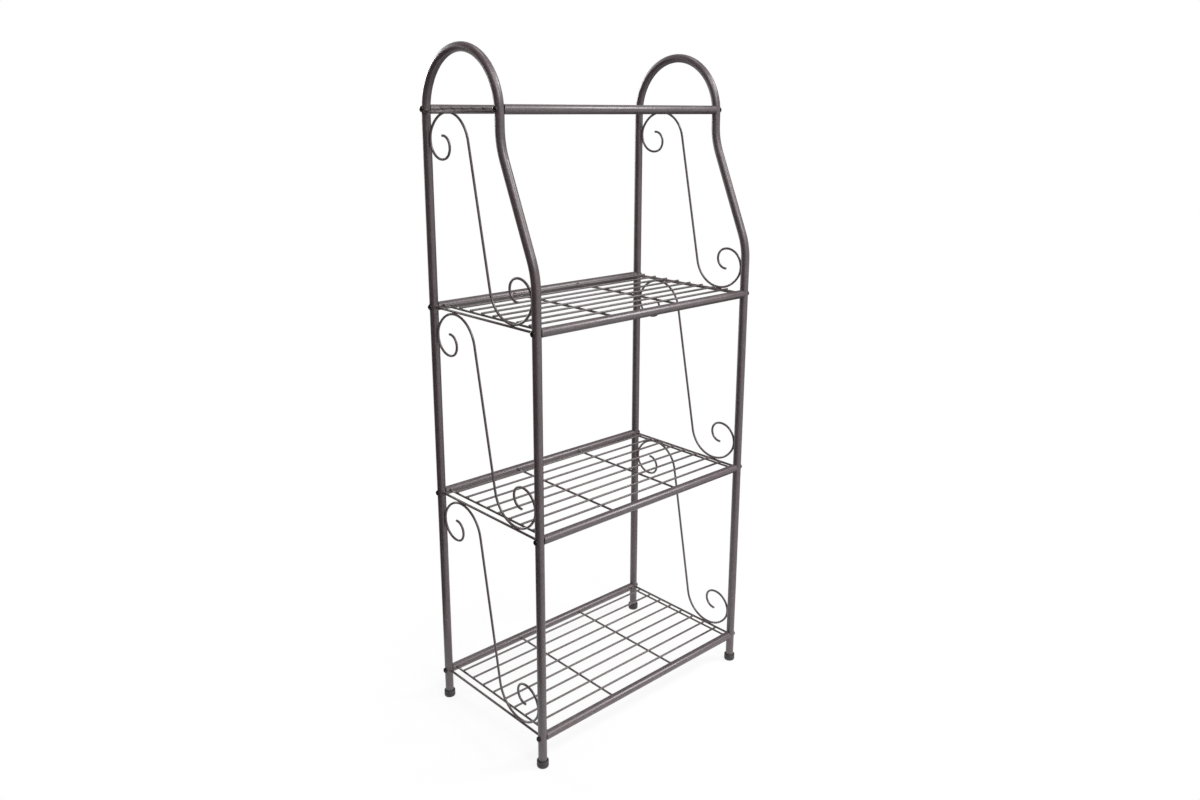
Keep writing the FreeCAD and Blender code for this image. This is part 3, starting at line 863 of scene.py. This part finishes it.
@dataclass(frozen=True)
class SideFrame:
    """A side frame: bent tube and scrolls from the CAD, side bars and the welds that hold them."""

    side: Side
    shelves: tuple[Shelf, ...]
    half_spacing: float = 292.0
    tube_radius: float = 9.0
    bar_radius: float = 2.5
    bar_round: float = 0.3
    scroll_radius: float = 2.5
    weld_gap: float = 0.2
    arch_radius: float = 66.0
    curl_radius: float = 38.0
    arch_setback: float = 61.5
    bead: float = 1.45
    bead_spread: float = 0.5
    bead_stand: float = 0.3
    bead_steps: int = 36
    seam_half: float = 6.5
    seam_offset: float = 1.5
    seam_radius: float = 1.5
    seam_steps: int = 12

    @property
    def x(self) -> float:
        """Centre plane of the frame."""
        return self.side.value * self.half_spacing

    @property
    def lap(self) -> float:
        """How far outside the scrolls' plane a lapped side bar lies."""
        return self.bar_radius + self.weld_gap + self.scroll_radius

    def tiers(self) -> Iterator[Tier]:
        """The frame's tiers from the floor up."""
        for name, low, high in zip(("bottom", "middle", "top"), self.shelves, self.shelves[1:]):
            yield Tier(name, low.height, high.height, high.bar_height)

    def build(self, wardrobe: Wardrobe) -> None:
        """Make the frame's pieces and dress those that come from the CAD.

        Args:
            wardrobe: Source of materials.
        """
        wire = wardrobe.material(WIRE_COAT)
        dress(f"{self.side.word}_side_tube", wardrobe.material(TUBE_COAT))
        for tier in self.tiers():
            dress(f"{self.side.word}_{tier.name}_scroll", wire)
        self._bars(wire)
        self._welds(wire)

    def _bars(self, coat: bpy.types.Material) -> None:
        """Make the rod between the legs at each shelf. A lapped one runs on to the leg's round flank.

        Args:
            coat: The rods' material.
        """
        for shelf in self.shelves:
            lap = self.lap if shelf.drop else 0.0
            flank = math.sqrt(self.tube_radius**2 - (lap + self.bar_radius) ** 2)
            seat = flank if lap else self.tube_radius + self.weld_gap
            half = (shelf.rear_y - shelf.front_y) / 2 - seat
            middle = (shelf.rear_y + shelf.front_y) / 2
            place = Vector((self.x + self.side.value * lap, middle, shelf.bar_height))
            rod = Draft(BAR_SIDES)
            rod.turn(cut_rod(half, self.bar_radius, self.bar_round), place, Axis.Y)
            node = f"{self.side.word}_{shelf.name}_side_bar"
            rod.object(f"{node}_rod", coat, [node])

    def _welds(self, coat: bpy.types.Material) -> None:
        """Make the beads round the bars' ends and the seams where the scrolls touch bars and legs.

        Args:
            coat: The welds' material.
        """
        draft = Draft(BEAD_SIDES)
        chance = random.Random(self.side.word)
        for shelf in self.shelves:
            for leg, inward in ((shelf.front_y, 1), (shelf.rear_y, -1)):
                lap = self.side.value * self.lap if shelf.drop else 0.0
                self._bar_bead(draft, chance, Vector((lap, leg, shelf.bar_height)), inward)
        for tier in self.tiers():
            self._scroll_seams(draft, chance, tier)
        draft.object(f"{self.side.word}_side_welds", coat)

    def _bar_bead(self, draft: Draft, chance: random.Random, end: Vector, inward: int) -> None:
        """Draw the bead round one bar end, on the leg's round face.

        Args:
            draft: Mesh to draw in.
            chance: Seeded source of the bead's pattern.
            end: The bar's X from the frame's centre plane, the leg's Y and the bar's Z.
            inward: Direction of the bar from the leg along Y.
        """
        reach = self.bar_radius + self.bead_spread
        path = []
        for angle in full_turn(self.bead_steps):
            across = end.x + reach * math.cos(angle)
            out = math.sqrt(self.tube_radius**2 - across**2) + self.bead_stand
            path.append(Vector((self.x + across, end.y + inward * out, end.z + reach * math.sin(angle))))
        draft.sweep(path, ripple(self.bead, chance), loop=True)

    def _scroll_seams(self, draft: Draft, chance: random.Random, tier: Tier) -> None:
        """Draw a tier's seams: scroll to upper and lower bar, scroll to rear and front leg.

        Args:
            draft: Mesh to draw in.
            chance: Seeded source of the seams' pattern.
            tier: The tier.
        """
        rear = self.shelves[0].rear_y - self.tube_radius - self.weld_gap / 2
        reach = rear - self.weld_gap / 2 - self.scroll_radius - self.arch_setback
        half = (tier.above - tier.below) / 2
        middle = (tier.above + tier.below) / 2
        bar = half - self.bar_radius - self.weld_gap / 2
        arch = bar - self.weld_gap / 2 - self.scroll_radius - self.arch_radius
        shift = self.arch_setback - self.curl_radius
        curl = arch + math.sqrt((self.arch_radius - self.curl_radius) ** 2 - shift**2)
        apex = middle + arch + self.arch_radius
        steps = [self.seam_half * (2 * k / self.seam_steps - 1) for k in range(self.seam_steps + 1)]
        for sign in (1, -1):
            for face in (1, -1):
                x = self.x + face * self.seam_offset
                bar_x, bar_z = x, middle + sign * bar
                if tier.lapped and sign > 0:
                    bar_x = self.x + self.side.value * self.lap / 2
                    bar_z = (apex + tier.bar_above) / 2 + face * self.seam_offset
                along_bar = [Vector((bar_x, sign * (reach + step), bar_z)) for step in steps]
                along_leg = [Vector((x, sign * rear, middle + sign * (curl + step))) for step in steps]
                draft.sweep(along_bar, seam(self.seam_radius, chance))
                draft.sweep(along_leg, seam(self.seam_radius, chance))


@dataclass(frozen=True)
class FrameBolts:
    """Button-head socket bolts through the legs into the rails, and the plugs that they screw into."""

    spots: tuple[Point, ...]
    seat: float = 301.1
    shank_radius: float = 3.0
    shank_length: float = 32.2
    tip_radius: float = 2.2
    tip_taper: float = 0.8
    head_radius: float = 6.0
    head_height: float = 3.45
    head_edge: float = 0.5
    head_rim: float = 0.9
    socket_flats: float = 4.0
    socket_depth: float = 2.2
    socket_land: float = 0.35
    socket_lead: float = 0.3
    socket_cone: float = 0.4
    socket_centre: float = 0.3

    def profile(self) -> tuple[list[Point], dict[int, Callable[[float], float]]]:
        """Outline of a bolt from the tip of its shank to the bottom of its socket.

        Returns:
            (along, radius) points, and the hexagon for the points on the socket's wall.
        """
        radius, top, rim = self.head_radius, self.head_height, self.head_rim
        land = self.socket_flats / math.sqrt(3) + self.socket_land
        floor = top - self.socket_depth
        points: list[Point] = [
            (-self.shank_length, self.tip_radius),
            (-self.shank_length + self.tip_taper, self.shank_radius),
            (0.0, self.shank_radius),
            (0.0, radius - self.head_edge),
            (EDGE_SHARE * self.head_edge, radius - EDGE_SHARE * self.head_edge),
            (self.head_edge, radius),
            (rim, radius),
        ]
        for degrees in range(10, 90, 10):
            angle = math.radians(degrees)
            points.append((rim + (top - rim) * math.sin(angle), land + (radius - land) * math.cos(angle)))
        points += [(top, land), (top - self.socket_lead, 0.0), (floor, 0.0)]
        points.append((floor - self.socket_cone, self.socket_centre))
        wall = len(points) - 3
        return points, {wall: self._hexagon, wall + 1: self._hexagon}

    def _hexagon(self, angle: float) -> float:
        """Radius of the socket's hexagon at an angle."""
        turn = (angle + math.pi / 6) % (math.pi / 3) - math.pi / 6
        return self.socket_flats / 2 / math.cos(turn)

    def build(self, wardrobe: Wardrobe) -> None:
        """Make the bolts and dress the plugs.

        Args:
            wardrobe: Source of materials.
        """
        points, shapes = self.profile()
        draft = Draft(TUBE_SIDES)
        for side in Side:
            for y, z in self.spots:
                head = Vector((side.value * self.seat, y, z))
                draft.turn(points, head, Axis.X, outward=side.value, shapes=shapes)
        draft.object("frame_bolts_button_head", wardrobe.material(BLACK_OXIDE), ["frame_bolts"])
        dress("rail_plugs", wardrobe.material(ZINC))


@dataclass(frozen=True)
class Foot:
    """A moulded cup on the end of a leg, with a bead line under its rim.

    The sole and the bead line are pairs of height and inset from the outside, the lip of depth under the
    rim and inset, and the mouth of depth under the rim and flare of the socket. The hub is the small flat
    that closes the sole and the socket's floor.
    """

    name: str
    x: float
    y: float
    radius: float = 12.24
    height: float = 15.0
    socket: float = 9.15
    base: float = 4.0
    hub: float = 0.3
    sole: tuple[Point, ...] = ((0.0, 2.9), (0.25, 1.6), (0.9, 0.75), (1.9, 0.2), (3.0, 0.0))
    bead_line: tuple[Point, ...] = (
        (8.4, 0.0),
        (8.8, 0.12),
        (9.1, 0.5),
        (9.6, 0.5),
        (9.9, 0.12),
        (10.3, 0.0),
    )
    lip: tuple[Point, ...] = ((1.4, 0.0), (0.6, 0.25), (0.15, 0.75), (0.0, 1.3))
    mouth: tuple[Point, ...] = ((0.0, 0.9), (0.2, 0.35), (0.8, 0.0))

    def build(self, wardrobe: Wardrobe) -> None:
        """Make the cup.

        Args:
            wardrobe: Source of materials.
        """
        profile: list[Point] = [(0.0, self.hub)]
        profile += [(up, self.radius - inset) for up, inset in self.sole + self.bead_line]
        profile += [(self.height - down, self.radius - inset) for down, inset in self.lip]
        profile += [(self.height - down, self.socket + flare) for down, flare in self.mouth]
        profile += [(self.base, self.socket), (self.base, self.hub)]
        cup = Draft(FOOT_SIDES)
        cup.turn(profile, Vector((self.x, self.y, 0)), Axis.Z)
        cup.object(f"{self.name}_cup", wardrobe.material(PLASTIC), [self.name])


@dataclass(frozen=True)
class PhotoCamera:
    """Camera of the photograph, for a picture of 1200 by 800 pixels. Its angles are radians."""

    place: tuple[float, float, float] = (-1349.81, -1478.61, 1288.0)
    yaw: float = 0.745803
    pitch: float = -0.252327
    roll: float = 0.002578
    focal_px: float = 961.49
    drop_px: float = -42.0
    width_px: int = 1200
    sensor_mm: float = 36.0

    def build(self) -> None:
        """Make the camera and give it to the scene."""
        forward = Vector(
            (
                math.sin(self.yaw) * math.cos(self.pitch),
                math.cos(self.yaw) * math.cos(self.pitch),
                math.sin(self.pitch),
            )
        )
        level = Vector((math.cos(self.yaw), -math.sin(self.yaw), 0))
        rise = level.cross(forward)
        right = level * math.cos(self.roll) + rise * math.sin(self.roll)
        up = rise * math.cos(self.roll) - level * math.sin(self.roll)
        data = bpy.data.cameras.new("photo_camera")
        data.sensor_fit = "HORIZONTAL"
        data.sensor_width = self.sensor_mm
        data.lens = self.focal_px * self.sensor_mm / self.width_px
        data.shift_y = self.drop_px / self.width_px
        camera = bpy.data.objects.new("photo_camera", data)
        turn = Matrix((right, up, -forward)).transposed()
        camera.matrix_world = Matrix.Translation(Vector(self.place) * MM) @ turn.to_4x4()
        bpy.context.collection.objects.link(camera)
        bpy.context.scene.camera = camera


@dataclass(frozen=True)
class Softbox:
    """A studio lamp that faces the stand, with its width level."""

    name: str
    towards: tuple[float, float, float]
    distance: float
    width: float
    height: float
    watts: float
    aim: tuple[float, float, float] = (0.0, 0.0, 0.7)

    def build(self) -> None:
        """Make the lamp."""
        data = bpy.data.lights.new(self.name, "AREA")
        data.shape = "RECTANGLE"
        data.size = self.width
        data.size_y = self.height
        data.energy = self.watts
        lamp = bpy.data.objects.new(self.name, data)
        way = Vector(self.towards).normalized()
        level = Vector((1, 0, 0))
        level = (level - way * level.dot(way)).normalized()
        turn = Matrix((level, way.cross(level), way)).transposed()
        place = Vector(self.aim) + way * self.distance
        lamp.matrix_world = Matrix.Translation(place) @ turn.to_4x4()
        lamp.visible_camera = False
        bpy.context.collection.objects.link(lamp)


def stage_piece(name: str, mesh: bmesh.types.BMesh, material: bpy.types.Material) -> bpy.types.Object:
    """Add a piece of the studio, which is no part of the stand.

    Args:
        name: The piece's name.
        mesh: Its mesh in metres, freed here.
        material: Its material.

    Returns:
        The new object.
    """
    data = bpy.data.meshes.new(name)
    mesh.to_mesh(data)
    mesh.free()
    data.materials.append(material)
    piece = bpy.data.objects.new(name, data)
    bpy.context.collection.objects.link(piece)
    return piece


def felt(name: str, colour: str) -> bpy.types.Material:
    """Dull felt for the studio's screens.

    Args:
        name: The material's name.
        colour: Its colour as sRGB hex.

    Returns:
        The material.
    """
    material, tree = new_material(name)
    dull = add_node(tree, "ShaderNodeBsdfDiffuse", inputs={"Color": linear(colour)})
    add_node(tree, "ShaderNodeOutputMaterial", inputs={"Surface": dull.outputs[0]})
    return material


@dataclass(frozen=True)
class Curtain:
    """A curved felt screen, never in the picture, that the tubes mirror as a darker side."""

    name: str
    first_degrees: float
    last_degrees: float
    colour: str
    top: float
    bottom: float = -1.2
    radius: float = 1.9
    steps: int = 48

    def build(self) -> None:
        """Make the curtain as part of the studio."""
        mesh = bmesh.new()
        rows = []
        sweep = self.last_degrees - self.first_degrees
        for k in range(self.steps + 1):
            angle = math.radians(self.first_degrees + sweep * k / self.steps)
            x, y = self.radius * math.cos(angle), self.radius * math.sin(angle)
            rows.append((mesh.verts.new((x, y, self.bottom)), mesh.verts.new((x, y, self.top))))
        for here, there in zip(rows, rows[1:]):
            mesh.faces.new((here[0], there[0], there[1], here[1]))
        stage_piece(self.name, mesh, felt(f"{self.name}_felt", self.colour)).visible_camera = False


@dataclass(frozen=True)
class Ceiling:
    """A pale ceiling above the lamps, never in the picture, that the tubes mirror dimly."""

    name: str = "studio_ceiling"
    height: float = 10.0
    radius: float = 13.0
    colour: str = "#f0eeee"
    sides: int = 48

    def build(self) -> None:
        """Make the ceiling as part of the studio."""
        mesh = bmesh.new()
        bmesh.ops.create_circle(mesh, cap_ends=True, segments=self.sides, radius=self.radius)
        bmesh.ops.translate(mesh, vec=(0, 0, self.height), verts=mesh.verts)
        stage_piece(self.name, mesh, felt(f"{self.name}_felt", self.colour)).visible_camera = False


@dataclass(frozen=True)
class Studio:
    """White floor and surroundings, soft lamps all round, and screens that shape reflections."""

    lamps: tuple[Softbox, ...] = (
        Softbox("right_softbox", (0.6, -0.46, 0.65), 9.0, 2.8, 2.4, 430.0),
        Softbox("middle_softbox", (0.12, -0.54, 0.83), 9.0, 3.6, 2.4, 120.0),
        Softbox("front_softbox", (-0.1, -0.81, 0.58), 9.0, 2.8, 2.6, 270.0),
        Softbox("high_softbox", (-0.38, -0.44, 0.81), 9.0, 2.8, 2.4, 200.0),
        Softbox("top_softbox", (0.1, 0.22, 0.97), 9.0, 3.0, 2.6, 90.0),
        Softbox("rear_softbox", (-0.1, 0.97, 0.2), 9.0, 3.0, 2.4, 400.0),
    )
    screens: tuple[Union[Curtain, Ceiling], ...] = (
        Curtain("studio_left_curtain", 112.0, 230.0, "#877579", 3.2),
        Curtain("studio_right_curtain", -22.0, 66.0, "#9a9898", 2.0),
        Curtain("studio_front_valance", -115.0, -15.0, "#9a9898", 9.0, 3.6, 10.0),
        Ceiling(),
    )
    paper: str = "#fafafa"
    floor_radius: float = 0.62
    floor_sides: int = 96
    floor_sink: float = 0.0002
    ambient: float = 0.2
    shadow_share: float = 0.14
    # Distances from the middle between which the paper turns to plain white
    clear_from: float = 0.3
    clear_to: float = 0.6

    def build(self) -> None:
        """Make the surroundings, floor, screens and lamps."""
        bpy.context.scene.view_settings.view_transform = "Standard"
        self._surroundings()
        self._floor()
        for piece in (*self.screens, *self.lamps):
            piece.build()

    @staticmethod
    def _seen(tree: bpy.types.NodeTree) -> bpy.types.NodeSocket:
        """Find the rays that look at the background, straight, mirrored or through glass.

        Args:
            tree: Node tree to add to.

        Returns:
            Socket that is 1 for those rays and 0 for others.
        """
        path = add_node(tree, "ShaderNodeLightPath").outputs
        seen = path["Is Camera Ray"]
        for ray in ("Is Glossy Ray", "Is Transmission Ray"):
            either = add_node(tree, "ShaderNodeMath", {"operation": "MAXIMUM"}, {0: seen, 1: path[ray]})
            seen = either.outputs[0]
        return seen

    def _surroundings(self) -> None:
        """White where it is seen, and a dimmer, even fill as light."""
        world = bpy.data.worlds.new("studio")
        bpy.context.scene.world = world
        world.use_nodes = True
        tree = world.node_tree
        tree.nodes.clear()
        fill = add_node(tree, "ShaderNodeBackground", inputs={"Color": WHITE, "Strength": self.ambient})
        white = add_node(tree, "ShaderNodeBackground", inputs={"Color": WHITE, "Strength": 1.0})
        mix = add_node(
            tree,
            "ShaderNodeMixShader",
            inputs={0: self._seen(tree), 1: fill.outputs[0], 2: white.outputs[0]},
        )
        add_node(tree, "ShaderNodeOutputWorld", inputs={"Surface": mix.outputs[0]})

    def _floor(self) -> None:
        """White paper under the stand, which takes its shadow, and plain white to look at further out."""
        mesh = bmesh.new()
        bmesh.ops.create_circle(mesh, cap_ends=True, segments=self.floor_sides, radius=self.floor_radius)
        material, tree = new_material("studio_floor_white_paper")
        place = add_node(tree, "ShaderNodeTexCoord").outputs["Object"]
        reach = add_node(tree, "ShaderNodeVectorMath", {"operation": "LENGTH"}, {0: place})
        far = add_node(
            tree,
            "ShaderNodeMapRange",
            {"interpolation_type": "SMOOTHSTEP"},
            {0: reach.outputs["Value"], 1: self.clear_from, 2: self.clear_to, 3: 0.0, 4: 1.0},
        )
        glow = add_node(
            tree,
            "ShaderNodeMapRange",
            inputs={0: far.outputs[0], 3: 1 - self.shadow_share, 4: 1.0},
        )
        share = add_node(
            tree,
            "ShaderNodeMath",
            {"operation": "MULTIPLY"},
            {0: glow.outputs[0], 1: self._seen(tree)},
        )
        paper = add_node(tree, "ShaderNodeBsdfDiffuse", inputs={"Color": linear(self.paper)})
        white = add_node(tree, "ShaderNodeEmission", inputs={"Color": WHITE, "Strength": 1.0})
        mix = add_node(
            tree,
            "ShaderNodeMixShader",
            inputs={0: share.outputs[0], 1: paper.outputs[0], 2: white.outputs[0]},
        )
        add_node(tree, "ShaderNodeOutputMaterial", inputs={"Surface": mix.outputs[0]})
        stage_piece("studio_floor", mesh, material).location.z = -self.floor_sink


@dataclass(frozen=True)
class PlantStand:
    """The whole stand, put together from its sub-assemblies."""

    rear_y: float = 166.0
    front_y: float = -166.0
    top_front_y: float = -70.0
    half_spacing: float = 292.0
    heights: tuple[float, ...] = (66.0, 494.0, 899.0, 1289.0)
    wire_counts: tuple[int, ...] = (8, 8, 8, 6)
    top_drop: float = 4.2
    wardrobe: Wardrobe = field(default_factory=Wardrobe)

    def shelves(self) -> tuple[Shelf, ...]:
        """Set out the shelves.

        Returns:
            The four shelves from the floor up.
        """
        names = ("bottom", "lower", "upper", "top")
        fronts = (self.front_y, self.front_y, self.front_y, self.top_front_y)
        drops = (0.0, 0.0, 0.0, self.top_drop)
        rows = zip(names, self.heights, fronts, self.wire_counts, drops)
        return tuple(
            Shelf(name, height, front, self.rear_y, count, drop) for name, height, front, count, drop in rows
        )

    def build(self) -> None:
        """Make every piece of the stand."""
        shelves = self.shelves()
        for shelf in shelves:
            shelf.build(self.wardrobe)
        for side in Side:
            SideFrame(side, shelves, self.half_spacing).build(self.wardrobe)
            for row, y in (("front", self.front_y), ("rear", self.rear_y)):
                Foot(f"{row}_{side.word}_foot", side.value * self.half_spacing, y).build(self.wardrobe)
        spots = tuple((y, shelf.height) for shelf in shelves for y in (shelf.front_y, shelf.rear_y))
        FrameBolts(spots).build(self.wardrobe)


def main() -> None:
    """Build the stand, the studio and the camera."""
    logging.basicConfig(level=logging.INFO, format="%(name)s %(message)s")
    PlantStand().build()
    Studio().build()
    PhotoCamera().build()


if __name__ == "__main__":
    main()
